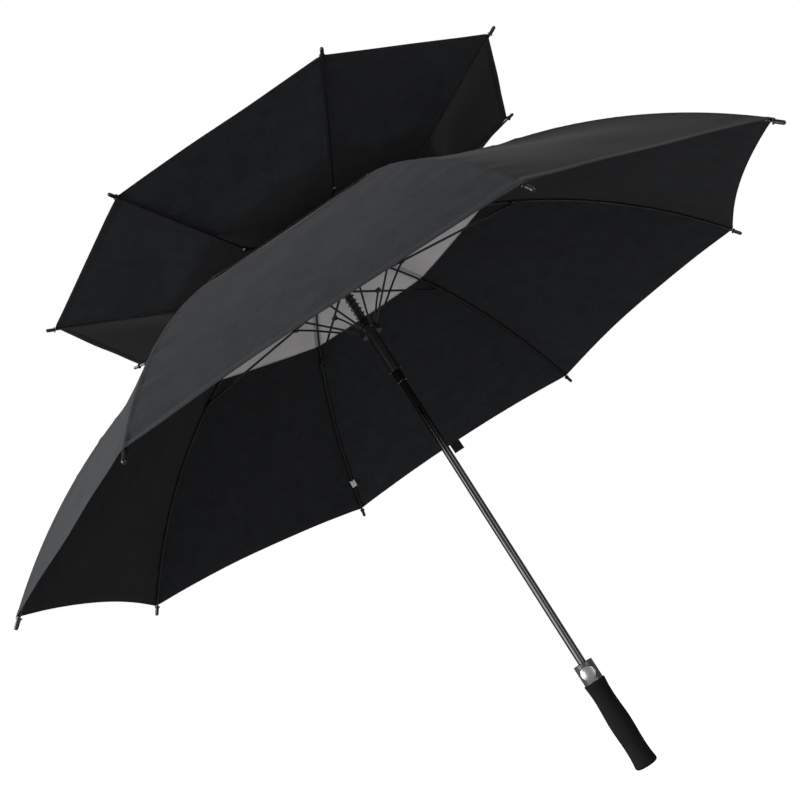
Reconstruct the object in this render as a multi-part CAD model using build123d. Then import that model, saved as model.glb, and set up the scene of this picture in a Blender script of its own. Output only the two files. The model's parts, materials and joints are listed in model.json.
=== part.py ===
from build123d import *
import math
import os

# A golf umbrella, open, with its wind canopy turned up.
# Origin: centre of the grip's end face. +Z runs up the shaft to the ferrule. The push button faces -Y.
# A rib plane holds the shaft's axis and one rib. In it, a point is (r, z): out from the axis, and up.
# Links lie side by side in planes parallel to it, at a sideways distance t.

# Canopy and ribs
RIBS = 8
FIRST_RIB_AZIMUTH = -22.5
CANOPY_R = 650.0          # axis to a hem corner of the main canopy
RIM_Z = 625.0             # height of the main canopy's hem corners
JOINT_R = 329.0           # rib joint, where the outer rib bends
JOINT_Z = 849.0
NOTCH_Z = 914.0           # hinges of the inner ribs in the top notch
OUTER_SAG = 23.0          # bow of the outer rib above its chord
HOLE_R = 290.0            # hem of the vent hole in the main canopy
HEM_DIP = 10.0            # how far the main hem curves in between two ribs
RIB_ROD_R = 1.9
OUTER_ROD_R = 1.8
FABRIC = 0.8              # thickness of the cloth solids
FABRIC_GAP = 0.4          # cloth above the rib's knuckles
VENT_GAP = 0.5            # vent cap above the main canopy
CAP_HOLE_R = 22.0         # inner hem of the vent cap

# Wind canopy on its short hinged ribs
KNOB_R, KNOB_Z = 201.0, 913.0        # hinge of a vent rib
VENT_TIP_R, VENT_TIP_Z = 418.0, 986.0
FOLD_R = 254.0            # where the wind canopy turns up
ARM_Z = 923.0             # inner end of the arm that carries the knob
ARM_R = 17.0
ARM_ROD_R = 1.6
KNOB_DISC_R = 4.0
WIND_HOLE_R = 8.0
CLAMP_R = 16.0            # flat middle of the wind canopy

# Hinges
KNUCKLE_R = 2.6
LINK_HALF = 2.0           # half the thickness of a hinged end
PIN_R = 0.9
PIN_FIT = 0.03            # pin in the part that holds it
HINGE_FIT = 0.06          # pin in the part that turns on it
PLAY = 0.3                # side play between hinged faces
PIN_WALL = 1.1            # pin length held in each wall of a slot
RIVET_R = 1.8
RIVET_HEAD = 0.6

# Shaft, and the three rings of hinges round it
SHAFT_R = 6.2
SHAFT_WALL = 1.0
SHAFT_BOTTOM = 12.0
SHAFT_TOP = 934.0
NOTCH_R = SHAFT_R + 3.8   # ribs' hinges in the top notch
HUB_PIVOT_R = SHAFT_R + 4.0
RUNNER_PIVOT_R = SHAFT_R + 8.4
RING_RIM = 0.1            # a ring's outside beyond its knuckles

# Spreader linkage
HUB_Z = 840.0             # stretcher pivots in the sliding hub
RUNNER_Z = 763.0          # strut pivots in the runner
STRETCHER_T = 4.4         # sideways place of the stretchers
STRETCHER_DROP = 3.0      # stretcher's outer end below the rib joint
STRETCHER_ROD_R = 1.9
STRUT_SHARE = 0.32        # place of the strut's pivot along the stretcher
STRUT_ROD_R = 1.6
STRUT_STRAIGHT = 0.6      # share of the strut that is straight, from the runner
STRUT_BEND = 1.6          # its bend stands this far above the chord
STRUT_BOSS_R = 3.5

# Hub and runner
SLIDE_FIT = 0.05
CATCH_SLOT_Z, CATCH_SLOT_LENGTH, CATCH_SLOT_WIDTH = 609.0, 16.0, 3.0
HUB_BODY_R = HUB_PIVOT_R + KNUCKLE_R + RING_RIM
HUB_BELOW, HUB_ABOVE = 6.0, 8.0
RUNNER_FLANGE_R = RUNNER_PIVOT_R + KNUCKLE_R + RING_RIM
FLANGE_BELOW, FLANGE_ABOVE = 9.0, 4.0
SLEEVE_WALL = 1.35
RUNNER_BODY_R = SHAFT_R + SLEEVE_WALL + 1.25
RUNNER_BODY_BOTTOM = 684.5
SLEEVE_BOTTOM = 665.0
SLEEVE_TOP = 732.0
TAB_SIZE = (3.0, 5.0, 2.2)           # out, sideways, up
TAB_HEIGHTS = (721.0, 686.5)
SPRING_R, SPRING_WIRE_R, SPRING_TURNS = SHAFT_R + 1.8, 0.8, 8
NOTCH_BODY_R = NOTCH_R + KNUCKLE_R + RING_RIM
NOTCH_BELOW, NOTCH_ABOVE = 8.0, 12.0

# Ferrule
FERRULE_FLANGE_R, FERRULE_FLANGE = 13.0, 3.0
FERRULE_NECK_R, FERRULE_NECK_TOP = SHAFT_R + 1.5, 945.0
FERRULE_R, FERRULE_TOP = 4.0, 985.0

# Handle
COLLAR_BOTTOM, COLLAR_TOP, COLLAR_R = 136.0, 166.0, 15.0
SLEEVE_POCKET_BOTTOM = COLLAR_TOP - 20.0
SLEEVE_POCKET_PLAY = 0.4
CORE_R = SHAFT_R + 2.8
END_CAP = 4.0
GRIP_RADII = ((0.0, 18.6), (0.24, 15.9), (0.5, 17.1), (0.76, 15.5), (1.0, 17.2))
GRIP_ROUND = 4.5
BUTTON_R, BUTTON_THICK, BUTTON_PROUD = 11.0, 4.0, 2.4
BUTTON_Z = 150.5
BUTTON_TRAVEL = 3.0
BUTTON_PLAY = 0.3
BUTTON_FLOOR = SHAFT_R + SLEEVE_WALL + 1.85    # floor of the button's pocket, from the axis
LATCH_PLATE, LATCH_HALF_WIDTH = 2.0, SHAFT_R + 2.0
LATCH_BOTTOM = COLLAR_BOTTOM + 1.0
LATCH_TAB_HALF, LATCH_TAB_TOP = 4.0, BUTTON_Z - 6.5
LATCH_TAB_THICK = 1.5
LATCH_END = SHAFT_R + 2.4
BUTTON_SPRING_R, BUTTON_WIRE_R, BUTTON_SPRING_TURNS = 3.0, 0.35, 4

# Tip caps and tie strap
TIP_REACH = 17.0          # cap beyond the hem corner
TIP_ROD = 11.0            # rod inside the cap
TIP_R, TIP_BEAD_R = 3.0, 4.4
VENT_TIP_REACH, VENT_TIP_CAP_R, VENT_BEAD_R = 14.0, 2.6, 4.0
STRAP_LENGTH, STRAP_THICK = 52.0, 1.4
STRAP_SEWN = 0.6          # share of the strap that lies under the cloth
STRAP_SIDES = (3.0, 25.0)             # its edges, sideways from the middle of its gore
STRAP_GORE = 3.5          # between ribs 3 and 4

STEP = 360 / RIBS
HALF_STEP = math.radians(STEP / 2)


def unit(v):
    length = math.hypot(*v)
    return (v[0] / length, v[1] / length)


def along(p, q, share):
    return (p[0] + (q[0] - p[0]) * share, p[1] + (q[1] - p[1]) * share)


def beyond(p, direction, distance):
    return (p[0] + direction[0] * distance, p[1] + direction[1] * distance)


class Bow:
    """A round arc in a rib plane from p to q, bowed by sag to the left of p->q."""

    def __init__(self, p, q, sag):
        chord = math.dist(p, q)
        ux, uz = unit((q[0] - p[0], q[1] - p[1]))
        self.radius = chord**2 / (8 * sag) + sag / 2
        drop = self.radius - sag
        middle = along(p, q, 0.5)
        self.centre = (middle[0] + uz * drop, middle[1] - ux * drop)
        self.start = math.atan2(p[1] - self.centre[1], p[0] - self.centre[0])
        end = math.atan2(q[1] - self.centre[1], q[0] - self.centre[0])
        self.turn = end - self.start
        self.length = abs(self.turn) * self.radius

    def point(self, share, offset=0.0):
        angle = self.start + self.turn * share
        reach = self.radius + offset
        return (self.centre[0] + reach * math.cos(angle), self.centre[1] + reach * math.sin(angle))

    def direction(self, share):
        angle = self.start + self.turn * share
        return (math.sin(angle), -math.cos(angle))

    def share_at_r(self, r):
        angle = math.acos((r - self.centre[0]) / self.radius)
        return (angle - self.start) / self.turn

    def edge(self, a, b, offset=0.0):
        p, m, q = (self.point(s, offset) for s in (a, (a + b) / 2, b))
        return ThreePointArc(in_plane(p), in_plane(m), in_plane(q))


def smooth_sag(p, q, direction):
    """The sag of the arc from p to q that runs in direction where it ends."""
    half = math.atan2(q[1] - p[1], q[0] - p[0]) - math.atan2(direction[1], direction[0])
    return math.dist(p, q) / 2 * math.tan(half / 2)


NOTCH = (NOTCH_R, NOTCH_Z)
JOINT = (JOINT_R, JOINT_Z)
CORNER = (CANOPY_R, RIM_Z)
KNOB = (KNOB_R, KNOB_Z)
VENT_TIP = (VENT_TIP_R, VENT_TIP_Z)
HUB = (HUB_PIVOT_R, HUB_Z)
RUNNER = (RUNNER_PIVOT_R, RUNNER_Z)
OUTER = Bow(JOINT, CORNER, OUTER_SAG)
JOINT_DIRECTION = OUTER.direction(0)
INNER = Bow(NOTCH, JOINT, smooth_sag(NOTCH, JOINT, JOINT_DIRECTION))
STRETCHER_END = beyond(JOINT, (JOINT_DIRECTION[1], -JOINT_DIRECTION[0]), STRETCHER_DROP)
STRUT_END = along(HUB, STRETCHER_END, STRUT_SHARE)
SLOT = 2 * (LINK_HALF + PLAY)
MAIN_LIFT = KNUCKLE_R + FABRIC_GAP + FABRIC / 2
CAP_LIFT = MAIN_LIFT + FABRIC + VENT_GAP
SPRING_BOTTOM = RUNNER_Z + FLANGE_ABOVE
SPRING_TOP = HUB_Z - HUB_BELOW
CLAMP_Z = NOTCH_Z + NOTCH_ABOVE


def in_plane(p, t=0.0):
    """The point (r, z) of a rib plane, t to its side, in the frame of a rib that points along +X."""
    return (p[0], t, p[1])


def turned(shape, k):
    """shape, made for a rib along +X, at rib k, from 1."""
    return Rot(0, 0, FIRST_RIB_AZIMUTH + STEP * (k - 1)) * shape


def ring_of(shape):
    return [turned(shape, k) for k in range(1, RIBS + 1)]


def rod(p, q, radius, t=0.0):
    direction = unit((q[0] - p[0], q[1] - p[1]))
    plane = Plane(origin=in_plane(p, t), z_dir=in_plane(direction))
    return plane * Cylinder(radius, math.dist(p, q), align=(Align.CENTER, Align.CENTER, Align.MIN))


def bowed_rod(bow, a, b, radius, t=0.0):
    path = bow.edge(a, b)
    start = Plane(origin=in_plane(bow.point(a)), z_dir=in_plane(bow.direction(a)))
    return Pos(0, t, 0) * sweep(start * Circle(radius), path=path)


def cross_disc(p, radius, low, high):
    """A disc about the sideways axis through p, from t = low to t = high."""
    plane = Plane(origin=in_plane(p, low), z_dir=(0, 1, 0))
    return plane * Cylinder(radius, high - low, align=(Align.CENTER, Align.CENTER, Align.MIN))


def bar(p, q, half, low, high):
    direction = unit((q[0] - p[0], q[1] - p[1]))
    plane = Plane(origin=in_plane(p, low), x_dir=in_plane(direction), z_dir=(0, 1, 0))
    size = (math.dist(p, q), 2 * half, high - low)
    return plane * Box(*size, align=(Align.MIN, Align.CENTER, Align.MIN))


def lap_eye(p, rod_end, disc_r, half, pin_r):
    """The holed half of a lap hinge at p, and the flat that joins it to the end of its rod."""
    low, high = -LINK_HALF, -PLAY / 2
    eye = cross_disc(p, disc_r, low, high) + bar(rod_end, p, half, low, high)
    return eye - cross_disc(p, pin_r + HINGE_FIT, low - PLAY, high + PLAY)


def lap_pin(p, rod_end, disc_r, half, pin_r):
    """The other half: its disc carries the pin, with a rivet head on the far side."""
    low, high = PLAY / 2, LINK_HALF
    head = -LINK_HALF - PLAY
    eye = cross_disc(p, disc_r, low, high) + bar(rod_end, p, half, low, high)
    pin = cross_disc(p, pin_r, head, high) + cross_disc(p, RIVET_R, head - RIVET_HEAD, head)
    return eye + pin


def tip_cap(p, direction, reach, rod_r, cap_r, bead_r):
    """A blind plastic cap on the end of a rod, with a bead that the hem is sewn to."""
    bead_end = beyond(p, direction, 2.0)
    end = beyond(p, direction, reach - cap_r)
    start = beyond(p, direction, FABRIC_GAP)
    cap = rod(start, end, cap_r) + rod(start, bead_end, bead_r)
    cap += Pos(*in_plane(end)) * Sphere(cap_r)
    return cap - rod(p, beyond(p, direction, TIP_ROD - 1.0), rod_r + PIN_FIT)


def rib_inner():
    joint_gap = (KNUCKLE_R + 2 * PLAY) / INNER.length
    last = INNER.point(1 - joint_gap)
    body = bowed_rod(INNER, 0, 1 - joint_gap, RIB_ROD_R)
    body += cross_disc(NOTCH, KNUCKLE_R, -LINK_HALF, LINK_HALF)
    body += lap_eye(JOINT, last, KNUCKLE_R, RIB_ROD_R, PIN_R)
    arm_start = (ARM_R, ARM_Z)
    direction = unit((KNOB_R - ARM_R, KNOB_Z - ARM_Z))
    arm_end = beyond(KNOB, direction, -(KNOB_DISC_R + 2 * PLAY))
    riser_foot = INNER.point(INNER.share_at_r(ARM_R))
    body += rod(riser_foot, arm_start, ARM_ROD_R)
    body += Pos(*in_plane(arm_start)) * Sphere(ARM_ROD_R)
    body += rod(arm_start, arm_end, ARM_ROD_R)
    body += lap_eye(KNOB, arm_end, KNOB_DISC_R, ARM_ROD_R, PIN_R)
    return body - cross_disc(NOTCH, PIN_R + HINGE_FIT, -SLOT, SLOT)


def rib_outer():
    first = (KNUCKLE_R + 2 * PLAY) / OUTER.length
    start = OUTER.point(first)
    direction = OUTER.direction(1)
    body = bowed_rod(OUTER, first, 1, OUTER_ROD_R)
    body += rod(CORNER, beyond(CORNER, direction, TIP_ROD - 2.0), OUTER_ROD_R)
    body += lap_pin(JOINT, start, KNUCKLE_R, OUTER_ROD_R, PIN_R)
    return [body, tip_cap(CORNER, direction, TIP_REACH, OUTER_ROD_R, TIP_R, TIP_BEAD_R)]


def vent_rib():
    direction = unit((VENT_TIP_R - KNOB_R, VENT_TIP_Z - KNOB_Z))
    start = beyond(KNOB, direction, KNOB_DISC_R + 2 * PLAY)
    body = rod(start, beyond(VENT_TIP, direction, TIP_ROD - 2.0), ARM_ROD_R)
    body += lap_pin(KNOB, start, KNOB_DISC_R, ARM_ROD_R, PIN_R)
    return [body, tip_cap(VENT_TIP, direction, VENT_TIP_REACH, ARM_ROD_R, VENT_TIP_CAP_R, VENT_BEAD_R)]


def stretcher():
    low, high = STRETCHER_T - LINK_HALF, STRETCHER_T + LINK_HALF
    body = rod(HUB, STRETCHER_END, STRETCHER_ROD_R, STRETCHER_T)
    body += cross_disc(HUB, KNUCKLE_R, low, high)
    body += cross_disc(STRETCHER_END, KNUCKLE_R, low, high)
    body += cross_disc(STRUT_END, STRUT_BOSS_R, low, high)
    body += cross_disc(STRUT_END, RIVET_R, high, high + RIVET_HEAD)
    return body - cross_disc(HUB, PIN_R + HINGE_FIT, low - PLAY, high + PLAY)


def strut():
    """Straight from the runner to its bend, then an arc to the boss, with no kink between."""
    ux, uz = unit((STRUT_END[0] - RUNNER[0], STRUT_END[1] - RUNNER[1]))
    bend = beyond(along(RUNNER, STRUT_END, STRUT_STRAIGHT), (-uz, ux), STRUT_BEND)
    straight = Line(in_plane(RUNNER), in_plane(bend))
    arc = TangentArc(in_plane(bend), in_plane(STRUT_END), tangent=straight % 1)
    start = Plane(origin=straight @ 0, z_dir=straight % 0)
    body = sweep(start * Circle(STRUT_ROD_R), path=Wire([straight, arc]))
    body += cross_disc(RUNNER, KNUCKLE_R, -LINK_HALF, LINK_HALF)
    body += cross_disc(STRUT_END, STRUT_BOSS_R, -LINK_HALF, LINK_HALF)
    return body - cross_disc(RUNNER, PIN_R + HINGE_FIT, -SLOT, SLOT)


def tube(outer, inner, low, high):
    height = high - low
    wall = Cylinder(outer, height) - Cylinder(inner, height + 2)
    return Pos(0, 0, (low + high) / 2) * wall


def slot_box(pivot, t, low, high, reach):
    """The room for one link in a slotted disc, open outwards."""
    inner = pivot[0] - KNUCKLE_R - 2 * PLAY / 3
    box = Box(reach - inner, SLOT, high - low, align=(Align.MIN, Align.CENTER, Align.MIN))
    return Pos(inner, t, low) * box


def slot_pin(pivot, t, radius):
    half = SLOT / 2 + PIN_WALL
    return cross_disc(pivot, radius, t - half, t + half)


def slotted(body, pivot, t, low, high, reach):
    room = slot_box(pivot, t, low, high, reach) + slot_pin(pivot, t, PIN_R + PIN_FIT)
    for cut in ring_of(room):
        body -= cut
    return body


def pins(pivot, t=0.0):
    return ring_of(slot_pin(pivot, t, PIN_R))


def top_notch():
    bottom = NOTCH_Z - NOTCH_BELOW
    body = tube(NOTCH_BODY_R, SHAFT_R, bottom, CLAMP_Z)
    ceiling = NOTCH_Z + KNUCKLE_R + PLAY
    return slotted(body, NOTCH, 0, bottom - 1, ceiling, 2 * NOTCH_BODY_R)


def hub():
    floor = HUB_Z - KNUCKLE_R - PLAY
    top = HUB_Z + HUB_ABOVE
    body = tube(HUB_BODY_R, SHAFT_R + SLIDE_FIT, SPRING_TOP, top)
    return slotted(body, HUB, STRETCHER_T, floor, top + 1, 2 * HUB_BODY_R)


def runner():
    floor = RUNNER_Z - KNUCKLE_R - PLAY
    flange_bottom = RUNNER_Z - FLANGE_BELOW
    body = tube(RUNNER_FLANGE_R, SHAFT_R + SLIDE_FIT, flange_bottom, SPRING_BOTTOM)
    body = slotted(body, RUNNER, 0, floor, SPRING_BOTTOM + 1, 2 * RUNNER_FLANGE_R)
    body += tube(RUNNER_BODY_R, SHAFT_R + SLIDE_FIT, RUNNER_BODY_BOTTOM, flange_bottom)
    for z in TAB_HEIGHTS:
        for side in (0, 180):
            tab = Pos(RUNNER_BODY_R + TAB_SIZE[0] / 2 - 0.5, 0, z) * Box(*TAB_SIZE)
            body += Rot(0, 0, side) * tab
    return body - tube(sleeve_r(), 0.5 * SHAFT_R, RUNNER_BODY_BOTTOM - 1, SLEEVE_TOP)


def sleeve_r():
    return SHAFT_R + SLIDE_FIT + SLEEVE_WALL


def shaft():
    body = tube(SHAFT_R, SHAFT_R - SHAFT_WALL, SHAFT_BOTTOM, SHAFT_TOP)
    slot = Box(2 * CATCH_SLOT_WIDTH, CATCH_SLOT_WIDTH, CATCH_SLOT_LENGTH)
    return body - Rot(0, 0, -90) * Pos(SHAFT_R, 0, CATCH_SLOT_Z) * slot


def ferrule():
    base = CLAMP_Z + FABRIC
    outline = [
        (0, base),
        (FERRULE_FLANGE_R, base),
        (FERRULE_FLANGE_R, base + FERRULE_FLANGE),
        (FERRULE_NECK_R, base + FERRULE_FLANGE + 1.5),
        (FERRULE_NECK_R, FERRULE_NECK_TOP - 3.0),
        (FERRULE_R, FERRULE_NECK_TOP),
        (FERRULE_R, FERRULE_TOP - 3.0),
        (FERRULE_R - 1.5, FERRULE_TOP),
        (0, FERRULE_TOP),
    ]
    face = Plane.XZ * make_face(Polyline(*outline, close=True))
    return revolve(face, Axis.Z) - tube(SHAFT_R, 0.1, base - 1, SHAFT_TOP)


def coil(radius, wire, turns, length):
    """A compression spring along +Z from the origin, clear of both its seats by a hair."""
    height = length - 2 * wire - 0.2
    path = Helix(height / turns, height, radius, center=(0, 0, wire + 0.1))
    start = Plane(origin=path @ 0, z_dir=path % 0)
    return sweep(start * Circle(wire), path=path)


def collar():
    body = tube(COLLAR_R, SHAFT_R, COLLAR_BOTTOM, COLLAR_TOP)
    body = chamfer(body.edges().filter_by(GeomType.CIRCLE).sort_by(Axis.Z)[-1], 1.2)
    body += tube(CORE_R, SHAFT_R, END_CAP, COLLAR_BOTTOM)
    body -= tube(sleeve_r() + SLEEVE_POCKET_PLAY, 1.0, SLEEVE_POCKET_BOTTOM, COLLAR_TOP + 1)
    pocket = Cylinder(BUTTON_R + BUTTON_PLAY, COLLAR_R, align=(Align.CENTER, Align.CENTER, Align.MIN))
    body -= Plane(origin=(0, -BUTTON_FLOOR, BUTTON_Z), z_dir=(0, -1, 0)) * pocket
    body -= latch_room()
    return body


def latch_room():
    low = LATCH_BOTTOM - PLAY
    high = LATCH_BOTTOM + LATCH_PLATE + PLAY
    end = LATCH_END + BUTTON_TRAVEL + PLAY
    plate = Box(2 * (LATCH_HALF_WIDTH + PLAY), COLLAR_R + end, high - low, align=(Align.CENTER, Align.MAX, Align.MIN))
    tab_y = button_back() + LATCH_TAB_THICK + BUTTON_TRAVEL + PLAY
    tab = Box(2 * (LATCH_TAB_HALF + PLAY), COLLAR_R, LATCH_TAB_TOP + PLAY - low, align=(Align.CENTER, Align.MAX, Align.MIN))
    return Pos(0, end, low) * plate + Pos(0, tab_y, low) * tab


def button_back():
    """The y of the button's inner face at rest."""
    return -(COLLAR_R + BUTTON_PROUD - BUTTON_THICK)


def button():
    cap = Cylinder(BUTTON_R, BUTTON_THICK, align=(Align.CENTER, Align.CENTER, Align.MIN))
    cap = chamfer(cap.edges().filter_by(GeomType.CIRCLE).sort_by(Axis.Z)[-1], 0.8)
    return Plane(origin=(0, button_back(), BUTTON_Z), z_dir=(0, -1, 0)) * cap


def latch_plate():
    """A plate round the shaft that the button pushes, with a long hole for its travel."""
    back = button_back()
    plate = Box(2 * LATCH_HALF_WIDTH, LATCH_END - back, LATCH_PLATE, align=(Align.CENTER, Align.MIN, Align.MIN))
    tab = Box(
        2 * LATCH_TAB_HALF, LATCH_TAB_THICK, LATCH_TAB_TOP - LATCH_BOTTOM, align=(Align.CENTER, Align.MIN, Align.MIN)
    )
    body = Pos(0, back, LATCH_BOTTOM) * (plate + tab)
    hole_r = SHAFT_R + PLAY
    for y in (0, -BUTTON_TRAVEL):
        body -= Pos(0, y, LATCH_BOTTOM) * Cylinder(hole_r, 4 * LATCH_PLATE)
    return body - Pos(0, -BUTTON_TRAVEL / 2, LATCH_BOTTOM) * Box(2 * hole_r, BUTTON_TRAVEL, 4 * LATCH_PLATE)


def button_spring():
    length = -button_back() - BUTTON_FLOOR
    spring = coil(BUTTON_SPRING_R, BUTTON_WIRE_R, BUTTON_SPRING_TURNS, length)
    return Plane(origin=(0, -BUTTON_FLOOR, BUTTON_Z), z_dir=(0, -1, 0)) * spring


def grip():
    length = COLLAR_BOTTOM
    points = [(radius, share * length) for share, radius in GRIP_RADII]
    side = Spline(*points)
    bottom_r, top_r = points[0][0], points[-1][0]
    outline = side + Polyline((top_r, length), (CORE_R, length), (CORE_R, 0), (bottom_r, 0))
    body = revolve(Plane.XZ * make_face(outline), Axis.Z)
    for last, radius in ((0, GRIP_ROUND), (-1, GRIP_ROUND / 3)):
        rims = [e for e in body.edges().filter_by(GeomType.CIRCLE) if e.radius > 1.3 * CORE_R]
        body = fillet(sorted(rims, key=lambda e: e.center().Z)[last], radius)
    return body


def band(edges_up, edges_down):
    """A thin closed face in a rib plane between an upper and a lower line of edges."""
    start = Line(edges_down[0] @ 0, edges_up[0] @ 0)
    end = Line(edges_up[-1] @ 1, edges_down[-1] @ 1)
    return make_face([start, *edges_up, end, *edges_down])


def gores(face, hem=None):
    """Cloth between neighbouring ribs: straight from one rib plane's section to the next."""
    made = []
    for k in range(1, RIBS + 1):
        gore = loft([turned(face, k), turned(face, k + 1)], ruled=True)
        if hem is not None:
            gore -= turned(hem, k + 0.5)
        made.append(gore)
    return made


def hem_cutter():
    """A tall cylinder outside the hem, which curves it in between two corners."""
    half_chord = CANOPY_R * math.sin(HALF_STEP)
    radius = half_chord**2 / (2 * HEM_DIP) + HEM_DIP / 2
    x = CANOPY_R * math.cos(HALF_STEP) - HEM_DIP + radius
    return Pos(x, 0, RIM_Z) * Cylinder(radius, JOINT_Z - RIM_Z)


def main_canopy():
    first = INNER.share_at_r(HOLE_R)
    sides = []
    for lift in (MAIN_LIFT + FABRIC / 2, MAIN_LIFT - FABRIC / 2):
        sides.append([INNER.edge(first, 1, lift), OUTER.edge(0, 1, lift)])
    return gores(band(*sides), hem_cutter())


def vent_cap():
    first = INNER.share_at_r(CAP_HOLE_R)
    sides = []
    for lift in (CAP_LIFT + FABRIC / 2, CAP_LIFT - FABRIC / 2):
        sides.append([INNER.edge(first, 1, lift)])
    return gores(band(*sides))


def wind_canopy():
    """Flat under the ferrule's flange, nearly flat to the fold, then up along the vent ribs."""
    direction = unit((VENT_TIP_R - KNOB_R, VENT_TIP_Z - KNOB_Z))
    normal = (-direction[1], direction[0])
    lift = KNUCKLE_R + FABRIC_GAP
    sides = []
    for height in (FABRIC, 0.0):
        tip = beyond(VENT_TIP, normal, lift + height)
        fold = beyond(tip, direction, (FOLD_R - tip[0]) / direction[0])
        middle = CLAMP_Z + height
        line = [(WIND_HOLE_R, middle), (CLAMP_R, middle), fold, tip]
        sides.append([Line(in_plane(p), in_plane(q)) for p, q in zip(line, line[1:])])
    return gores(band(*sides))


def tie_strap():
    """The hook-and-loop strap that ties the rolled canopy, sewn under the hem and hanging past it."""
    flat = math.cos(HALF_STEP)
    hem = OUTER.share_at_r((CANOPY_R * flat - HEM_DIP) / flat)
    depth = MAIN_LIFT - FABRIC / 2 - FABRIC_GAP - STRAP_THICK / 2
    upper, lower = (OUTER.point(hem + STRAP_LENGTH * s / OUTER.length, depth) for s in (-STRAP_SEWN, 0))
    start, end = (upper[0] * flat, upper[1]), (lower[0] * flat, lower[1])
    direction = unit((end[0] - start[0], end[1] - start[1]))
    strip = bar(start, beyond(start, direction, STRAP_LENGTH), STRAP_THICK / 2, *STRAP_SIDES)
    return turned(strip, STRAP_GORE)


def as_solids(made):
    shapes = made if isinstance(made, list) else [made]
    return [solid for shape in shapes for solid in shape.solids()]


def save(name, made):
    solids = as_solids(made)
    shape = solids[0] if len(solids) == 1 else Compound(children=solids)
    export_step(shape, f"parts/{name}.step")


os.makedirs("parts", exist_ok=True)

for name, made in (
    ("rib_inner", [rib_inner()]),
    ("rib_outer", rib_outer()),
    ("vent_rib", vent_rib()),
    ("stretcher", [stretcher()]),
    ("strut", [strut()]),
):
    for k in range(1, RIBS + 1):
        save(f"{name}_{k}", [turned(shape, k) for shape in made])

save("shaft", shaft())
save("ferrule", ferrule())
save("top_notch", top_notch())
save("notch_pins", pins(NOTCH))
save("hub", hub())
save("hub_pins", pins(HUB, STRETCHER_T))
save("runner", runner())
save("runner_pins", pins(RUNNER))
save("runner_sleeve", tube(sleeve_r(), SHAFT_R + SLIDE_FIT, SLEEVE_BOTTOM, SLEEVE_TOP))
save("main_spring", Pos(0, 0, SPRING_BOTTOM) * coil(SPRING_R, SPRING_WIRE_R, SPRING_TURNS, SPRING_TOP - SPRING_BOTTOM))
save("handle_collar", collar())
save("grip", grip())
save("grip_end_cap", Pos(0, 0, END_CAP / 2) * Cylinder(CORE_R, END_CAP))
save("button", button())
save("button_spring", button_spring())
save("latch_plate", latch_plate())
save("main_canopy", main_canopy())
save("vent_cap", vent_cap())
save("wind_canopy", wind_canopy())
save("tie_strap", tie_strap())
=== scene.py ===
import json
import math
import bpy
import numpy as np
from mathutils import Matrix, Vector


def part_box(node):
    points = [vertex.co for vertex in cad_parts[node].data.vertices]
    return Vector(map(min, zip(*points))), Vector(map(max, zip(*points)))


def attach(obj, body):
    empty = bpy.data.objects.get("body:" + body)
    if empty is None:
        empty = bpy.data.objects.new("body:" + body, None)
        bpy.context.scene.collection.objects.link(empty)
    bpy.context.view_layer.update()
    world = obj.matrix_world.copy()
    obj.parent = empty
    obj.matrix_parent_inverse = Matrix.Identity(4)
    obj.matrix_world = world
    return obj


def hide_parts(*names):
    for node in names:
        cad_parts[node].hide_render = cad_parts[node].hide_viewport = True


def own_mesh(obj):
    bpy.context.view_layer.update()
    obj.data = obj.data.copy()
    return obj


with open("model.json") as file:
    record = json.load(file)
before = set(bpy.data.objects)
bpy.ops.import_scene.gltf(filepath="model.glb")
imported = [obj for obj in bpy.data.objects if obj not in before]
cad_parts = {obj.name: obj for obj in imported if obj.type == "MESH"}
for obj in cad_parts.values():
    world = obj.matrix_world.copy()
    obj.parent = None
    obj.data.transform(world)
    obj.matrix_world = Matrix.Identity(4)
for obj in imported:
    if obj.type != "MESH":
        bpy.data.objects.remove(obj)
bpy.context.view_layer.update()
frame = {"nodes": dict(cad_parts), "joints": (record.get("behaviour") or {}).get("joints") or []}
NODES = frame["nodes"]
JOINTS = {joint["name"]: joint for joint in frame["joints"]}
RIBS = range(1, 9)

# ---------------------------------------------------------------------------------------------------------
# Camera. It looks up under the open canopy from beside the handle and is rolled, so that the shaft leans.
# It comes first because everything else is judged through it.
camera_data = bpy.data.cameras.new("camera")
camera = bpy.data.objects.new("camera", camera_data)
bpy.context.scene.collection.objects.link(camera)
bpy.context.scene.camera = camera
camera_data.sensor_width = 36.0
camera_data.lens = 52.2
aim = Vector((-0.0187, -0.0013, 0.6418))
view_azimuth, view_elevation, view_distance = math.radians(4.10), math.radians(-12.37), 1.787
towards_camera = Vector((
    math.sin(view_azimuth) * math.cos(view_elevation),
    -math.cos(view_azimuth) * math.cos(view_elevation),
    math.sin(view_elevation),
))
upright = (-towards_camera).to_track_quat("-Z", "Y").to_matrix().to_4x4()
roll = Matrix.Rotation(math.radians(-32.42), 4, "Z")
camera.matrix_world = Matrix.Translation(aim + towards_camera * view_distance) @ upright @ roll
camera_data.clip_start, camera_data.clip_end = 0.05, 60.0

# ---------------------------------------------------------------------------------------------------------
# Studio. A white room far away, a white floor well below the hand-held umbrella, one big soft light high on
# the front left for the cloth that faces it, weak ones low on both sides, and a tall narrow one that draws
# the bright line down the lacquered shaft.
bpy.context.scene.view_settings.view_transform = "Standard"


def linear(colour):
    """An sRGB hex colour such as "#2a2b2d" as linear red, green, blue and alpha."""
    parts = np.array([int(colour[i:i + 2], 16) for i in (1, 3, 5)]) / 255
    low, high = parts / 12.92, ((parts + 0.055) / 1.055) ** 2.4
    return (*np.where(parts <= 0.04045, low, high).tolist(), 1.0)


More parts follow.
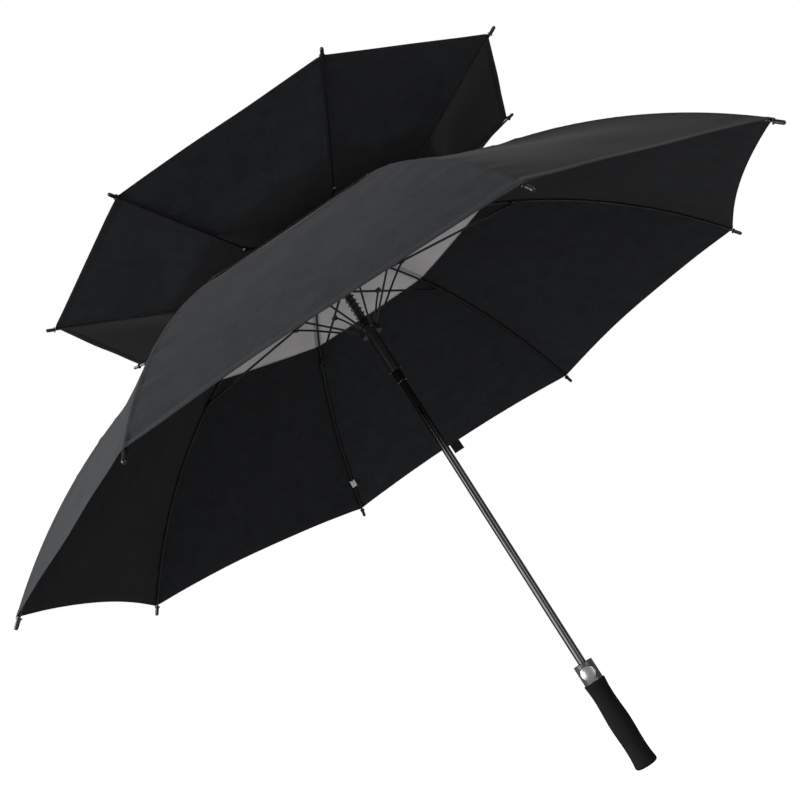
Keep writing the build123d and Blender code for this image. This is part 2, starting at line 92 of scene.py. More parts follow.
def add(tree, kind, links=None, values=None, **settings):
    """One node of a tree: its settings, the values of its sockets by name, and what is linked to them."""
    made = tree.nodes.new(kind)
    for name, value in settings.items():
        setattr(made, name, value)
    for name, value in (values or {}).items():
        made.inputs[name].default_value = value
    for name, socket in (links or {}).items():
        tree.links.new(socket, made.inputs[name])
    return made


def material(name, **settings):
    """A new material with one Principled shader, whose plain values are given by socket name."""
    made = bpy.data.materials.new(name)
    made.use_nodes = True
    shader = made.node_tree.nodes["Principled BSDF"]
    for socket, value in settings.items():
        shader.inputs[socket.replace("_", " ")].default_value = value
    return made, made.node_tree, shader


world = bpy.data.worlds.new("studio")
bpy.context.scene.world = world
world.use_nodes = True
sky = world.node_tree
sky.nodes.clear()
seen = add(sky, "ShaderNodeLightPath")
room = add(sky, "ShaderNodeBackground", values={"Color": linear("#ffffff"), "Strength": 0.23})
backdrop = add(sky, "ShaderNodeBackground", values={"Color": linear("#ffffff"), "Strength": 1.0})
mixed = add(sky, "ShaderNodeMixShader", {"Fac": seen.outputs["Is Camera Ray"]})
sky.links.new(room.outputs[0], mixed.inputs[1])
sky.links.new(backdrop.outputs[0], mixed.inputs[2])
add(sky, "ShaderNodeOutputWorld", {"Surface": mixed.outputs[0]})

floor_mesh = bpy.data.meshes.new("floor")
half_floor, floor_level = 14.0, -1.0
floor_mesh.from_pydata(
    [(x, y, floor_level) for x, y in ((-half_floor, -half_floor), (half_floor, -half_floor),
                                      (half_floor, half_floor), (-half_floor, half_floor))],
    [], [(0, 1, 2, 3)])
floor = bpy.data.objects.new("floor", floor_mesh)
bpy.context.scene.collection.objects.link(floor)
painted_floor, _, floor_shader = material("white_painted_floor", Roughness=0.9, Base_Color=linear("#f4f4f4"))
floor_shader.inputs["Emission Color"].default_value = linear("#ffffff")
floor_shader.inputs["Emission Strength"].default_value = 0.9
floor_mesh.materials.append(painted_floor)
floor.visible_diffuse = floor.visible_glossy = False    # its own glow lights nothing


def soft_light(name, place, target, width, height, power):
    """A rectangular studio light at place that faces target."""
    data = bpy.data.lights.new(name, "AREA")
    data.shape, data.size, data.size_y, data.energy = "RECTANGLE", width, height, power
    light = bpy.data.objects.new(name, data)
    bpy.context.scene.collection.objects.link(light)
    direction = Vector(target) - Vector(place)
    light.matrix_world = Matrix.Translation(place) @ direction.to_track_quat("-Z", "Y").to_matrix().to_4x4()


soft_light("front_light", (-3.4, -1.6, 3.0), (0, -0.3, 0.75), 2.2, 1.4, 265)
soft_light("left_fill", (-3.0, -2.2, 0.2), (0.1, 0, 0.75), 1.6, 2.0, 70)
soft_light("right_light", (1.9, -3.0, 0.2), (0.1, 0, 0.6), 1.7, 2.4, 15)
soft_light("handle_light", (-0.7, -1.5, 0.2), (0, 0, 0.15), 0.5, 0.5, 4)
soft_light("shaft_light", (1.15, -1.1, 0.35), (0, 0, 0.35), 0.22, 1.6, 6)

# ---------------------------------------------------------------------------------------------------------
# Ribs as lines. The cloth takes its shape from them: each rib bends as two round arcs in its own upright
# plane, from the top notch to the rib joint and on to the tip, with one tangent at the joint.
RIB_BOW = 0.023         # bow of the outer rib above its chord
CLOTH_LIFT = 0.0034     # middle of the cloth above the rib's centre line
CAP_LIFT = 0.0047       # the vent cap lies over the main canopy's hem


def pivot(name):
    """A hinge's place in its rib's plane: out from the axis, and up."""
    x, y, z = JOINTS[name]["pos_m"]
    return np.array((math.hypot(x, y), z))


def rib_azimuth(k):
    x, y, _ = JOINTS[f"rib_inner_hinge_{(k - 1) % 8 + 1}"]["pos_m"]
    return math.atan2(y, x)


def arc(start, end, sag):
    """The arc from start to end, bowed by sag to the left, as a function of its share and an outward lift."""
    chord = end - start
    length = np.linalg.norm(chord)
    radius = length**2 / (8 * sag) + sag / 2
    across = np.array((chord[1], -chord[0])) / length
    centre = (start + end) / 2 + across * (radius - sag)
    first = math.atan2(*(start - centre)[::-1])
    turn = math.atan2(*(end - centre)[::-1]) - first

    def point(share, lift=0.0):
        angle = first + turn * np.asarray(share)
        reach = radius + np.asarray(lift)
        return np.stack([centre[0] + reach * np.cos(angle), centre[1] + reach * np.sin(angle)], -1)

    def share_at(r):
        return (np.arccos((np.asarray(r) - centre[0]) / radius) - first) / turn

    return point, share_at, abs(turn) * radius, first


HALF_GORE = math.pi / 8
notch, rib_joint, knob = pivot("rib_inner_hinge_1"), pivot("rib_outer_hinge_1"), pivot("vent_rib_hinge_1")
corner = np.array((0.650, 0.625))       # hem corner of the main canopy
outer_point, outer_share, outer_length, outer_first = arc(rib_joint, corner, RIB_BOW)
inner_chord = rib_joint - notch
start_slope = outer_first - math.pi / 2
half_bend = math.atan2(inner_chord[1], inner_chord[0]) - start_slope
inner_sag = np.linalg.norm(inner_chord) / 2 * math.tan(half_bend / 2)
inner_point, inner_share, inner_length, _ = arc(notch, rib_joint, inner_sag)
HOLE_R = 0.290          # hem of the vent hole


def in_rib_plane(k, points):
    """(r, z) points of rib k's plane, as x, y, z."""
    a = rib_azimuth(k)
    return np.stack([points[..., 0] * math.cos(a), points[..., 0] * math.sin(a), points[..., 1]], -1)


def surface(name, points, uv=None, closed=False):
    """A mesh over a grid of points, rows by columns; uv is a grid of pairs in metres along the cloth."""
    rows, columns = points.shape[:2]
    index = np.arange(rows * columns).reshape(rows, columns)
    if closed:
        index = np.concatenate([index, index[:, :1]], 1)
    corners = np.stack([index[:-1, :-1], index[1:, :-1], index[1:, 1:], index[:-1, 1:]], -1).reshape(-1, 4)
    mesh = bpy.data.meshes.new(name)
    mesh.from_pydata(points.reshape(-1, 3).tolist(), [], corners.tolist())
    if uv is not None:
        layer = mesh.uv_layers.new(name="cloth")
        layer.data.foreach_set("uv", uv.reshape(-1, 2)[corners.ravel()].astype(np.float32).ravel())
    mesh.polygons.foreach_set("use_smooth", np.ones(len(mesh.polygons), bool))
    border = np.zeros((rows, columns), bool)
    border[[0, -1]] = True
    if not closed:
        border[:, [0, -1]] = True
    ends = np.zeros(2 * len(mesh.edges), int)
    mesh.edges.foreach_get("vertices", ends)
    sharp = mesh.attributes.new("sharp_edge", "BOOLEAN", "EDGE")
    sharp.data.foreach_set("value", border.ravel()[ends.reshape(-1, 2)].all(1))
    made = bpy.data.objects.new(name, mesh)
    bpy.context.scene.collection.objects.link(made)
    return made


# ---------------------------------------------------------------------------------------------------------
# Main canopy: eight gores of black pongee, a plain-woven polyester, cut with curved hems and sewn together
# over the ribs. Each piece here is the cloth that one rib carries, from the middle of one gore to the middle
# of the next, so that it folds with that rib; above the rib joint it rides on the inner rib.
CLOTH = 0.0005          # drawn thickness of the cloth
HEM_DIP = 0.010         # how far the hem curves in between two corners, seen from above
HEM_SLOPE = 1.45        # the same dip along the sloping cloth
GORE_DIP = 0.007        # tension pulls the middle of a gore in from the straight line between its ribs
HEM_WIDTH = 0.009       # turned and sewn edge
HEM_RISE = 0.0005
SEAM_HALF = 0.0045      # felled seam over each rib
SEAM_RISE = 0.0005
PUCKER = 0.0011         # height of the puckers that the seams draw in the cloth


def smooth(x):
    """0 below 0, 1 above 1, and a smooth rise between."""
    x = np.clip(x, 0, 1)
    return x * x * (3 - 2 * x)


def spread(count, edges=()):
    """Columns from -1 to 1, closer together at the middle, with the given extra places."""
    base = np.linspace(-1, 1, count)
    extra = [s * e for e in edges for s in (-1, 1)]
    return np.unique(np.concatenate([base, extra]).round(6))


def gore_share(v):
    """The share across its gore, and which rib comes next, of a place v from -1 to 1 across a rib's cloth."""
    return np.abs(v) / 2, np.where(v < 0, -1, 1)


def fabric(k, v, profile, dip, relief, end_dip=None):
    """The cloth of rib k. profile's line gives its place in a rib's plane for a share from 0 to 1. Across a
    gore it runs straight from rib to rib, less dip in the middle, and its end draws back by end_dip[gore], a
    share of its length, times a parabola. relief(share, w, gore) is the height of seams and waves along the
    outward normal, where w is the share of the way from rib gore to the next one."""
    v = np.asarray(v)[None, :]
    w, side = gore_share(v)
    gore = np.where(side > 0, k - 1, k - 2) % 8
    parabola = 4 * w * (1 - w)
    u = np.asarray(profile["rows"])[:, None] * np.ones_like(v)
    if end_dip is not None:
        u = u * (1 - end_dip[gore] * parabola)
    line = profile["line"](u)
    ahead = profile["line"](np.clip(u + 1e-4, 0, 1.2)) - profile["line"](u - 1e-4)
    length = np.linalg.norm(ahead, axis=-1)
    normal = np.stack([-ahead[..., 1], ahead[..., 0]], -1) / length[..., None]
    half = rib_azimuth(k) + side * HALF_GORE
    flat = math.cos(HALF_GORE)
    sideways = line[..., 0] * math.sin(HALF_GORE) * (2 * w - 1) * side
    lift = relief(u, np.where(side > 0, w, 1 - w), gore) - dip * parabola * profile["tension"](u)
    out = line[..., 0] * flat + normal[..., 0] * lift
    up = line[..., 1] + normal[..., 1] * lift
    x = out * np.cos(half) - sideways * np.sin(half)
    y = out * np.sin(half) + sideways * np.cos(half)
    flat_uv = np.stack([sideways + side * 0.3, u * profile["length"]], -1)
    return np.stack([x, y, up], -1), flat_uv


def rows(length, edges=(), step=0.012):
    """Rows along a line of that length, every step, with extra ones at these distances from its two ends."""
    base = np.linspace(0, 1, max(2, round(length / step)))
    extra = [e / length for e in edges] + [1 - e / length for e in edges]
    return np.unique(np.concatenate([base, extra]).round(6))


def seam(w, r):
    """The felled seam over a rib, as a low flat ridge. At a rib, w is 0 or 1."""
    from_rib = 2 * np.minimum(w, 1 - w) * r * math.sin(HALF_GORE)
    return SEAM_RISE * (1 - smooth((from_rib - SEAM_HALF) / 0.0008))


def hem(distance):
    """The turned hem, as a low flat band along the edge."""
    return HEM_RISE * (1 - smooth((distance - HEM_WIDTH) / 0.0008))


def puckers(along, w, gore):
    """Small waves that start at a rib's seam and die out into the gore."""
    from_rib = np.minimum(w, 1 - w)
    near = np.exp(-((from_rib / 0.10) ** 2)) * smooth(from_rib / 0.02)
    turn = 1.7 * gore + 2.0 * (w > 0.5)
    return PUCKER * near * (np.sin(along * 200 + turn) + 0.6 * np.sin(along * 120 + 2.1 * turn))


def slack(along, w, gore):
    """Broad, very shallow waves of the cloth between two ribs."""
    middle = np.sin(math.pi * w) ** 2
    return 0.0016 * middle * np.sin(along * 33 + 1.7 * gore) * np.cos(2.4 * math.pi * w + 1.2 * gore)


def cloth_material(name, dark, light, sheen, rough, thread=0.0011):
    """Pongee: matt polyester with a faint sheen. Its real threads are about 0.12 mm apart, so the weave is
    drawn coarser, at thread, to show at all; a slow mottle stands for uneven dye and tension."""
    made, tree, shader = material(name, Roughness=rough, Sheen_Weight=sheen, Sheen_Roughness=0.45,
                                  Specular_IOR_Level=0.15)
    place = add(tree, "ShaderNodeUVMap", uv_map="cloth")
    turns = math.pi / thread
    warp, weft = (add(tree, "ShaderNodeTexWave", {"Vector": place.outputs[0]},
                      {"Scale": turns / 20, "Distortion": 0.6}, bands_direction=axis) for axis in "XY")
    weave = add(tree, "ShaderNodeMath", operation="MULTIPLY")
    tree.links.new(warp.outputs["Fac"], weave.inputs[0])
    tree.links.new(weft.outputs["Fac"], weave.inputs[1])
    where = add(tree, "ShaderNodeTexCoord")
    mottle, fleck = (add(tree, "ShaderNodeTexNoise", {"Vector": where.outputs["Object"]},
                         {"Scale": scale, "Detail": detail}) for scale, detail in ((34.0, 6.0), (420.0, 2.0)))
    blend = add(tree, "ShaderNodeMath", operation="MULTIPLY_ADD", values={1: 0.55})
    tree.links.new(mottle.outputs["Fac"], blend.inputs[0])
    tree.links.new(fleck.outputs["Fac"], blend.inputs[2])
    ramp = add(tree, "ShaderNodeValToRGB", {"Fac": blend.outputs[0]})
    ramp.color_ramp.elements[0].position, ramp.color_ramp.elements[1].position = 0.55, 1.0
    ramp.color_ramp.elements[0].color, ramp.color_ramp.elements[1].color = linear(dark), linear(light)
    tree.links.new(ramp.outputs["Color"], shader.inputs["Base Color"])
    bump = add(tree, "ShaderNodeBump", {"Height": weave.outputs[0]}, {"Strength": 0.25, "Distance": 0.0002})
    tree.links.new(bump.outputs["Normal"], shader.inputs["Normal"])
    return made


pongee = cloth_material("black_pongee_plain_weave", "#17181a", "#242629", 0.04, 0.80)


def thicken(piece, *materials):
    """Gives a sheet the cloth's thickness, about its middle; a second material is for the underside."""
    for one in materials:
        piece.data.materials.append(one)
    solid = piece.modifiers.new("thickness", "SOLIDIFY")
    solid.thickness, solid.offset = CLOTH, 0.0
    if len(materials) > 1:
        solid.material_offset = 1


def fold(piece):
    """Gives the piece its own copy of its mesh."""
    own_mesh(piece)


across = spread(41, (0.004, 0.010, 0.016, 0.022, 0.030, 0.045))
hem_dip_share = np.full(8, HEM_DIP) / outer_length * HEM_SLOPE
outer_rows = {
    "rows": rows(outer_length, (0.002, HEM_WIDTH, HEM_WIDTH + 0.0008, 0.014, 0.02)),
    "line": lambda u: outer_point(u, CLOTH_LIFT),
    "length": outer_length,
    "tension": lambda u: 0.35 + 0.65 * np.sin(math.pi * np.clip(u, 0, 1) ** 0.8),
}
strip_start = float(inner_share(HOLE_R))
strip_length = inner_length * (1 - strip_start)
strip_rows = {
    "rows": rows(strip_length, (0.002, HEM_WIDTH, HEM_WIDTH + 0.0008), 0.006),
    "line": lambda u: inner_point(strip_start + (1 - strip_start) * u, CLOTH_LIFT),
    "length": strip_length,
    "tension": lambda u: np.full_like(u, 0.35),
}


def outer_relief(u, w, gore):
    end = 1 - hem_dip_share[gore] * 4 * w * (1 - w)
    waves = puckers(u * outer_length, w, gore) + slack(u * outer_length, w, gore)
    rise = hem((end - u) * outer_length) + waves * smooth(u / 0.05)
    return rise + seam(w, outer_point(u)[..., 0])


def strip_relief(u, w, gore):
    return seam(w, HOLE_R + u * (rib_joint[0] - HOLE_R)) + hem(u * strip_length)


for k in RIBS:
    points, uv = fabric(k, across, outer_rows, GORE_DIP, outer_relief, end_dip=hem_dip_share)
    piece = surface(f"canopy_cloth_{k}", points, uv)
    thicken(piece, pongee)
    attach(piece, f"rib_outer_{k}")
    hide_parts("main_canopy")
    fold(piece)

    points, uv = fabric(k, across, strip_rows, GORE_DIP, strip_relief)
    piece = surface(f"vent_hem_cloth_{k}", points, uv)
    thicken(piece, pongee)
    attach(piece, f"rib_inner_{k}")
    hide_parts("main_canopy")
    fold(piece)

# ---------------------------------------------------------------------------------------------------------
# Vent cap: a second, smaller canopy of eight gores that covers the hole. It is black outside; its underside
# is silver-coated, a thin aluminium-filled layer over the weave, and is what shows through the hole.
silver, silver_tree, silver_shader = material("silver_coated_cloth", Roughness=0.45, Metallic=0.2,
                                              Specular_IOR_Level=0.5)
silver_place = add(silver_tree, "ShaderNodeTexCoord")
silver_noise = add(silver_tree, "ShaderNodeTexNoise", {"Vector": silver_place.outputs["Object"]},
                   {"Scale": 22.0, "Detail": 5.0})
silver_ramp = add(silver_tree, "ShaderNodeValToRGB", {"Fac": silver_noise.outputs["Fac"]})
silver_ramp.color_ramp.elements[0].color = linear("#cdc8ca")
silver_ramp.color_ramp.elements[1].color = linear("#e0dde0")
silver_tree.links.new(silver_ramp.outputs["Color"], silver_shader.inputs["Base Color"])
silver_grain = add(silver_tree, "ShaderNodeTexNoise", {"Vector": silver_place.outputs["Object"]},
                   {"Scale": 700.0})
silver_bump = add(silver_tree, "ShaderNodeBump", {"Height": silver_grain.outputs["Fac"]},
                  {"Strength": 0.15, "Distance": 0.0002})
silver_tree.links.new(silver_bump.outputs["Normal"], silver_shader.inputs["Normal"])

CAP_START_R = 0.022
cap_start = float(inner_share(CAP_START_R))
cap_length = inner_length * (1 - cap_start)
cap_rows = {
    "rows": rows(cap_length, (0.002, 0.008, 0.0088)),
    "line": lambda u: inner_point(cap_start + (1 - cap_start) * u, CAP_LIFT),
    "length": cap_length,
    "tension": lambda u: np.sin(math.pi * np.clip(u, 0, 1)) * 0.5,
}


def cap_relief(u, w, gore):
    r = inner_point(cap_start + (1 - cap_start) * u)[..., 0]
    return seam(w, r) + hem((1 - u) * cap_length) + 0.5 * puckers(u * cap_length, w, gore) * smooth(4 * u)


for k in RIBS:
    points, uv = fabric(k, across, cap_rows, GORE_DIP, cap_relief)
    piece = surface(f"vent_cap_cloth_{k}", points, uv)
    thicken(piece, pongee, silver)
    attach(piece, f"rib_inner_{k}")
    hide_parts("vent_cap")
    fold(piece)

# ---------------------------------------------------------------------------------------------------------
# Wind canopy: eight more gores above, clamped under the ferrule and turned up along the short vent ribs.
# The nearly flat middle rides on the inner ribs' arms, and what rises beyond the knobs on the vent ribs.
wind_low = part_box("wind_canopy")[0]
WIND_START_R, CLAMP_R, FOLD_R = 0.0085, 0.016, 0.254
WIND_TIP = np.array((0.418, 0.986))
WIND_LIFT = 0.0034
OVERLAP = 0.008         # the flap of the rising part lies over the middle near the knobs
clamp_z = wind_low.z + 0.0004
rise = (WIND_TIP - knob) / np.linalg.norm(WIND_TIP - knob)
rise_normal = np.array((-rise[1], rise[0]))
wind_corner = WIND_TIP + rise_normal * WIND_LIFT
wind_fold = wind_corner + rise * (FOLD_R - wind_corner[0]) / rise[0]
middle_line = np.array([(WIND_START_R, clamp_z), (CLAMP_R, clamp_z), wind_fold])
flap_r = knob[0] + 0.004


def polyline(corners, soft=0.0):
    """A line through corners as a function of its share, bent over a length of soft at each inner corner."""
    steps = np.linalg.norm(np.diff(corners, axis=0), axis=1)
    places = np.concatenate([[0], np.cumsum(steps)])

    def point(share):
        s = np.asarray(share) * places[-1]
        offsets = np.linspace(-soft, soft, 7) if soft else [0.0]
        found = 0
        for offset in offsets:
            t = s + offset * np.minimum(1, np.minimum(s, places[-1] - s) / max(soft, 1e-9)) if soft else s
            found = found + np.stack([np.interp(t, places, corners[:, i]) for i in (0, 1)], -1)
        return found / len(offsets)

    return point, places[-1]


def at_r(r):
    """The wind canopy's middle line at a distance r from the axis."""
    return np.array((r, np.interp(r, middle_line[:, 0], middle_line[:, 1])))


middle_part, middle_length = polyline(np.array([middle_line[0], middle_line[1], at_r(flap_r + OVERLAP)]))
rising_part, rising_length = polyline(np.array([at_r(flap_r) + (0, 0.0007), wind_fold, wind_corner]), 0.004)
fold_share = np.linalg.norm(wind_fold - at_r(flap_r)) / rising_length
middle_rows = {
    "rows": rows(middle_length, (0.0075, 0.012)),
    "line": middle_part,
    "length": middle_length,
    "tension": lambda u: np.sin(math.pi * np.clip(u, 0, 1)) * 0.3,
}
rising_rows = {
    "rows": np.unique(np.concatenate([rows(rising_length, (0.002, HEM_WIDTH, HEM_WIDTH + 0.0008)),
                                      fold_share + np.linspace(-0.03, 0.03, 9)]).round(6)),
    "line": rising_part,
    "length": rising_length,
    "tension": lambda u: 1.4 * np.sin(math.pi * np.clip(u, 0, 1)) * smooth((u - fold_share) / 0.2),
}


def middle_relief(u, w, gore):
    return 0 * u * w


def rising_relief(u, w, gore):
    waves = puckers(u * rising_length, w, gore) + 0.7 * slack(u * rising_length, w, gore)
    rise = waves * smooth((u - fold_share) / 0.1)
    return rise - seam(w, rising_part(u)[..., 0]) - hem((1 - u) * rising_length)


for k in RIBS:
    for name, line_rows, relief, body, dip, held_by in (
            ("wind_middle_cloth", middle_rows, middle_relief, "rib_inner", 0.0, "top_notch"),
            ("wind_rising_cloth", rising_rows, rising_relief, "vent_rib", -GORE_DIP, f"vent_rib_{k}")):
        points, uv = fabric(k, across, line_rows, dip, relief)
        piece = surface(f"{name}_{k}", points, uv)
        thicken(piece, pongee)
        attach(piece, f"{body}_{k}")
        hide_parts("wind_canopy")
        fold(piece)

# ---------------------------------------------------------------------------------------------------------
# Black lacquer on the steel tube of the shaft and the runner's sleeve: smooth and glossy, so it draws the
# lights as thin bright lines. Fine scratches round it come from the runner.
lacquer, tree, shader = material("black_lacquered_steel", Roughness=0.16, Base_Color=linear("#0c0c0d"),
                                 Coat_Weight=0.6, Coat_Roughness=0.06)
place = add(tree, "ShaderNodeTexCoord")
rings = add(tree, "ShaderNodeMapping", {"Vector": place.outputs["Object"]}, {"Scale": (20.0, 20.0, 900.0)})
wear = add(tree, "ShaderNodeTexNoise", {"Vector": rings.outputs[0]}, {"Scale": 1.0, "Detail": 3.0})
worn = add(tree, "ShaderNodeMapRange", {"Value": wear.outputs["Fac"]}, {"To Min": 0.12, "To Max": 0.26})
tree.links.new(worn.outputs[0], shader.inputs["Roughness"])


def moulded(name, colour, rough, grain=900.0, depth=0.00006):
    """Injection-moulded plastic: a fine spark-eroded grain and a little unevenness in its gloss."""
    made, tree, shader = material(name, Base_Color=linear(colour), IOR=1.53)
    place = add(tree, "ShaderNodeTexCoord")
    texture = add(tree, "ShaderNodeTexNoise", {"Vector": place.outputs["Object"]},
                  {"Scale": grain, "Detail": 2.0})
    gloss = add(tree, "ShaderNodeMapRange", {"Value": texture.outputs["Fac"]},
                {"To Min": rough - 0.08, "To Max": rough + 0.08})
    bump = add(tree, "ShaderNodeBump", {"Height": texture.outputs["Fac"]},
               {"Strength": 0.3, "Distance": depth})
    tree.links.new(gloss.outputs[0], shader.inputs["Roughness"])
    tree.links.new(bump.outputs["Normal"], shader.inputs["Normal"])
    return made


def metal(name, colour, rough, stretch=(60.0, 60.0, 60.0)):
    """Bare or plated metal with a brushed variation of its roughness along one direction."""
    made, tree, shader = material(name, Base_Color=linear(colour), Metallic=1.0)
    place = add(tree, "ShaderNodeTexCoord")
    along = add(tree, "ShaderNodeMapping", {"Vector": place.outputs["Object"]}, {"Scale": stretch})
    brush = add(tree, "ShaderNodeTexNoise", {"Vector": along.outputs[0]}, {"Scale": 12.0, "Detail": 4.0})
    gloss = add(tree, "ShaderNodeMapRange", {"Value": brush.outputs["Fac"]},
                {"To Min": rough - 0.07, "To Max": rough + 0.07})
    tree.links.new(gloss.outputs[0], shader.inputs["Roughness"])
    return made


black_nylon = moulded("black_moulded_nylon", "#0d0d0d", 0.42)
collar_abs = moulded("dark_grey_moulded_abs", "#3c3d42", 0.34)
black_wire = moulded("black_coated_spring_wire", "#0d0d0d", 0.16, 300.0)
fibreglass = moulded("black_fibreglass_rod", "#09090a", 0.34, 500.0)
coated_steel = moulded("black_coated_steel_link", "#09090a", 0.36, 500.0)
pin_steel = metal("zinc_plated_pin_steel", "#9a9a9c", 0.35)
satin_chrome = metal("satin_chrome_button", "#d6d5d0", 0.24, (400.0, 30.0, 30.0))


def finish_node(name, finish):
    """Gives a carried-over CAD piece its finish."""
    mesh = NODES[name].data
    mesh.materials.clear()
    mesh.materials.append(finish)


for name in ("shaft", "runner_sleeve"):
    finish_node(name, lacquer)
for name in ("ferrule", "top_notch", "hub", "runner", "grip_end_cap"):
    finish_node(name, black_nylon)
for name in ("notch_pins", "hub_pins", "runner_pins", "latch_plate", "button_spring"):
    finish_node(name, pin_steel)
finish_node("handle_collar", collar_abs)
for k in RIBS:
    for name in ("rib_inner", "rib_outer", "vent_rib"):
        finish_node(f"{name}_{k}", fibreglass)
    for name in ("stretcher", "strut"):
        finish_node(f"{name}_{k}", coated_steel)

# ---------------------------------------------------------------------------------------------------------
# Grip: a sleeve of black EVA foam over the handle's core. Closed-cell foam is matt, with pores under 1 mm.
foam, tree, shader = material("black_eva_foam", Roughness=0.9, Specular_IOR_Level=0.12)
place = add(tree, "ShaderNodeTexCoord")
cells = add(tree, "ShaderNodeTexVoronoi", {"Vector": place.outputs["Object"]}, {"Scale": 1300.0})
patches = add(tree, "ShaderNodeTexNoise", {"Vector": place.outputs["Object"]}, {"Scale": 60.0, "Detail": 4.0})
ramp = add(tree, "ShaderNodeValToRGB", {"Fac": patches.outputs["Fac"]})
ramp.color_ramp.elements[0].color, ramp.color_ramp.elements[1].color = linear("#0e0e0e"), linear("#181818")
tree.links.new(ramp.outputs["Color"], shader.inputs["Base Color"])
bump = add(tree, "ShaderNodeBump", {"Height": cells.outputs["Distance"]},
           {"Strength": 0.5, "Distance": 0.0002})
tree.links.new(bump.outputs["Normal"], shader.inputs["Normal"])
finish_node("grip", foam)

# ---------------------------------------------------------------------------------------------------------
# Push button: a pressed brass cap with a satin chrome plate, slightly domed, its edge rounded over and turned
# down into the collar. The profile is a spherical dome, then a quarter circle, then the skirt.
button_low, button_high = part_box("button")
button_centre = (button_low + button_high) / 2
BUTTON_R, BUTTON_DOME, BUTTON_EDGE, BUTTON_SKIRT = 0.011, 0.0010, 0.0009, 0.0021
dome_r = np.linspace(0.0, BUTTON_R - BUTTON_EDGE, 14)
dome = np.stack([dome_r, BUTTON_DOME * (dome_r / dome_r[-1]) ** 2], -1)
quarter = np.linspace(0.15, 1.0, 7) * math.pi / 2
edge = np.stack([BUTTON_R - BUTTON_EDGE + BUTTON_EDGE * np.sin(quarter),
                 BUTTON_DOME + BUTTON_EDGE * (1 - np.cos(quarter))], -1)
profile = np.concatenate([dome, edge, [(BUTTON_R, BUTTON_DOME + BUTTON_EDGE + BUTTON_SKIRT)]])
around = np.linspace(0, 2 * math.pi, 72, endpoint=False)
points = np.stack([
    button_centre.x + profile[:, :1] * np.cos(around),
    button_low.y + profile[:, 1:] + 0 * around,
    button_centre.z + profile[:, :1] * np.sin(around),
], -1)
cap = surface("button_cap", points, closed=True)
cap.data.materials.append(satin_chrome)
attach(cap, "button")
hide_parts("button")

# ---------------------------------------------------------------------------------------------------------
# Main spring: black-coated steel wire, wound as a helix round the shaft on top of the runner. On the umbrella
# the hub squeezes it as it closes; here it moves with the runner at its open length, its turns evenly spaced.
spring_low, spring_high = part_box("main_spring")
WIRE_R, SPRING_TURNS, SPRING_KEEP = 0.0008, 8, 0.207
spring_r = (spring_high.x - spring_low.x) / 2 - WIRE_R
share = np.linspace(0, 1, SPRING_TURNS * 40 + 1)
angle = share * SPRING_TURNS * 2 * math.pi
height = spring_low.z + WIRE_R + (spring_high.z - spring_low.z - 2 * WIRE_R) * share
centre = np.stack([spring_r * np.cos(angle), spring_r * np.sin(angle), height], -1)
outwards = np.stack([np.cos(angle), np.sin(angle), 0 * angle], -1)
forwards = np.gradient(centre, axis=0)
forwards /= np.linalg.norm(forwards, axis=1)[:, None]
upwards = np.cross(outwards, forwards)
ring = np.linspace(0, 2 * math.pi, 10, endpoint=False)[None, :, None]
points = centre[:, None] + WIRE_R * (np.cos(ring) * outwards[:, None] + np.sin(ring) * upwards[:, None])
spring = surface("main_spring_wire", points, closed=True)
spring.data.materials.append(black_wire)
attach(spring, "runner")
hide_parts("main_spring")
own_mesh(spring)

# ---------------------------------------------------------------------------------------------------------
# Tie strap: black hook-and-loop webbing, sewn under the hem and hanging past it with a slight curl. It goes
# with the cloth of rib 4. The CAD piece gives its line, since its gore faces exactly +Y.
STRAP_THICK, STRAP_CURL = 0.0012, 0.003
STRAP_WIDTH, STRAP_LENGTH = 0.022, 0.052
STRAP_SEWN = 0.6        # share of its length under the cloth
strap_low, strap_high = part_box("tie_strap")
share = np.linspace(0, 1, 27)[:, None]
side = np.linspace(0, 1, 9)[None, :]
beyond_hem = np.clip((share - STRAP_SEWN) / (1 - STRAP_SEWN), 0, 1)
points = np.stack([
    strap_low.x + (strap_high.x - strap_low.x) * side + 0 * share,
    strap_low.y + (strap_high.y - strap_low.y) * share + 0 * side,
    strap_high.z + (strap_low.z - strap_high.z) * share - STRAP_CURL * beyond_hem**2 + 0 * side,
], -1)
webbing = cloth_material("black_nylon_webbing", "#101011", "#1c1c1e", 0.10, 0.85, 0.0016)
strap_uv = np.stack([side * STRAP_WIDTH + 0 * share, share * STRAP_LENGTH + 0 * side], -1)
strap = surface("tie_strap_webbing", points, strap_uv)
strap.data.materials.append(webbing)
solid = strap.modifiers.new("thickness", "SOLIDIFY")
solid.thickness, solid.offset = STRAP_THICK, 0.0
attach(strap, "rib_outer_4")
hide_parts("tie_strap")
fold(strap)

# ---------------------------------------------------------------------------------------------------------
# Sewn fittings on the outer ribs: a padded cloth guard wrapped round each rib just past its joint, which
# keeps the joint off the canopy, and farther out a tie of black thread that holds the seam to the rib.
OUTER_ROD_R = 0.0018
GUARD_START, GUARD_LENGTH, GUARD_R = 0.0065, 0.016, 0.0043
TIE_SHARE, TIE_LENGTH, TIE_R = 0.39, 0.004, 0.0026
guard_cloth = moulded("black_felt_guard", "#0c0c0d", 0.85, 1500.0, 0.0002)


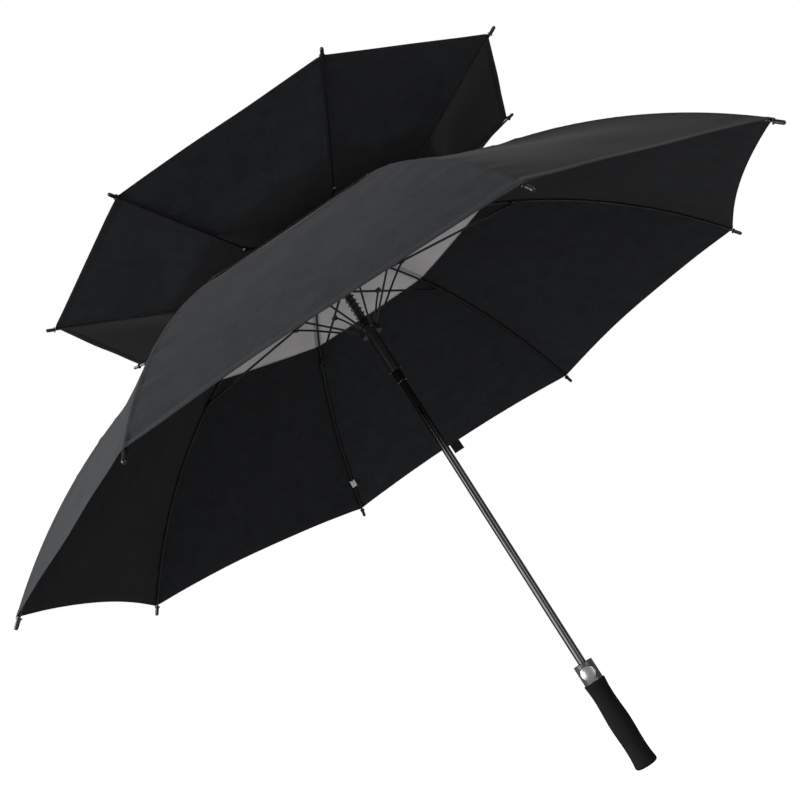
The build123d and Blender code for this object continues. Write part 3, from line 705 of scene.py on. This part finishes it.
def wrapped(name, k, start, length, radius, roundness):
    """A closed sleeve on outer rib k. Its radius rises from the rod's and falls as a power of a sine."""
    steps = np.linspace(0, 1, 15)
    line = in_rib_plane(k, outer_point((start + length * steps) / outer_length))
    radii = OUTER_ROD_R * 0.6 + (radius - OUTER_ROD_R * 0.6) * np.sin(math.pi * steps) ** roundness
    along = np.gradient(line, axis=0)
    along /= np.linalg.norm(along, axis=1)[:, None]
    a = rib_azimuth(k)
    across_rib = np.array((-math.sin(a), math.cos(a), 0))
    turn = np.linspace(0, 2 * math.pi, 20, endpoint=False)[None, :, None]
    third = np.cross(along, across_rib)
    around = np.cos(turn) * across_rib + np.sin(turn) * third[:, None]
    sleeve = line[:, None] + radii[:, None, None] * around
    made = surface(name, sleeve, closed=True)
    made.data.materials.append(guard_cloth)
    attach(made, f"rib_outer_{k}")


for k in RIBS:
    wrapped(f"joint_guard_{k}", k, GUARD_START, GUARD_LENGTH, GUARD_R, 0.35)
    wrapped(f"thread_tie_{k}", k, TIE_SHARE * outer_length, TIE_LENGTH, TIE_R, 0.3)

# ---------------------------------------------------------------------------------------------------------
# Care label: a small folded tag of white satin ribbon, sewn in at rib 4 and hanging under it. It is blank.
TAG_WIDTH, TAG_DROP = 0.0105, 0.013
TAG_PLACE_R = 0.598
tag_top = outer_point(float(outer_share(TAG_PLACE_R)))
across_tag = np.linspace(-0.5, 0.5, 7)[None, :] * TAG_WIDTH
down_tag = np.linspace(0, 1, 9)[:, None]
tag_plane = np.stack([tag_top[0] + 0.002 * down_tag**2 + 0 * across_tag,
                      tag_top[1] - TAG_DROP * down_tag + 0 * across_tag], -1)
sideways = np.array((-math.sin(rib_azimuth(4)), math.cos(rib_azimuth(4)), 0))
tag_points = in_rib_plane(4, tag_plane) + across_tag[..., None] * sideways + 0 * down_tag[..., None]
tag_uv = np.stack([across_tag + 0 * down_tag, down_tag * TAG_DROP + 0 * across_tag], -1)
tag = surface("care_tag", tag_points, tag_uv)
thicken(tag, cloth_material("white_satin_ribbon", "#b9b9b6", "#dcdcd8", 0.2, 0.6))
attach(tag, "rib_outer_4")
